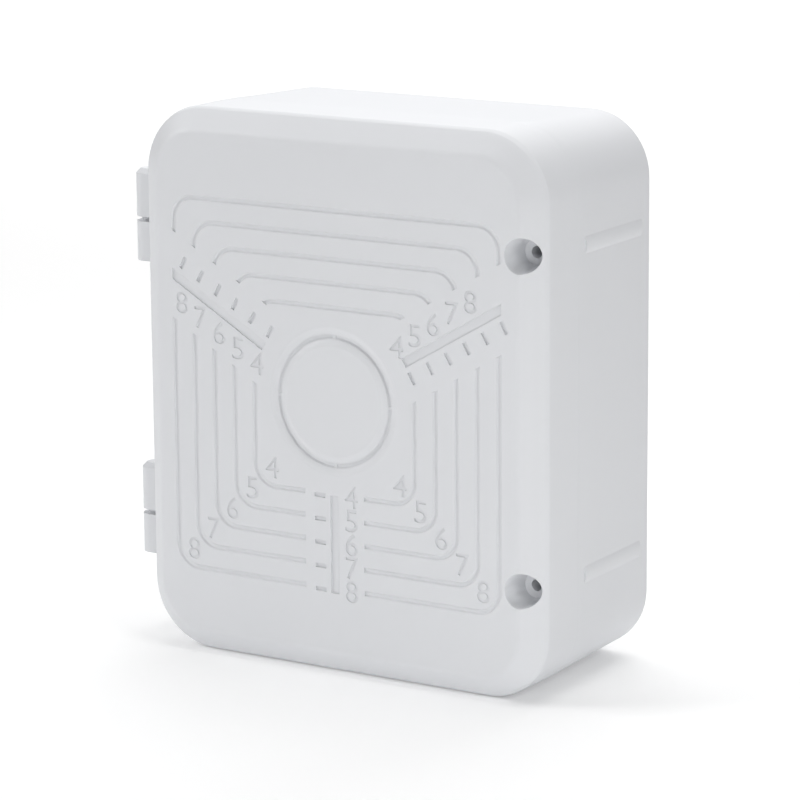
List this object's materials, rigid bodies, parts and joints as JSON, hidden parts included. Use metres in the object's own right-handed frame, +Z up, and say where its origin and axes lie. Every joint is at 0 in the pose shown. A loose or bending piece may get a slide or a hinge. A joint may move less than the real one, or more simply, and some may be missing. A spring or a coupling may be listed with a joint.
{
  "type": "camera bracket box",
  "caption": "Wall-mounted weatherproof junction box with a hinged front cover marked for drilling, on which a dome security camera is mounted.",
  "frame": {"origin": "centre of the rear wall face, in the plane that lies against the wall", "axes": "+Y out of the back into the wall, so the front cover faces -Y; +X to the right seen from the front, away from the hinges; +Z up"},
  "size_m": [0.2123, 0.094, 0.2331],
  "materials": {
    "white_abs": "matt",
    "seal_rubber": "matt",
    "grommet_rubber": "matt",
    "steel": "satin",
    "brass": "plain"
  },
  "bodies": {
    "box": {"base_box": "white_abs", "hinge_pin_upper": "steel", "hinge_pin_lower": "steel", "screw_insert_upper": "brass", "screw_insert_lower": "brass", "cable_grommet": "grommet_rubber"},
    "cover": {"front_cover": "white_abs", "sealing_gasket": "seal_rubber"}
  },
  "joints": [
    {"name": "cover_hinge", "type": "hinge", "parent": "box", "child": "cover", "pos_m": [-0.1087, -0.07, 0], "axis": [0, 0, -1], "range_deg": [0, 180]}
  ]
}
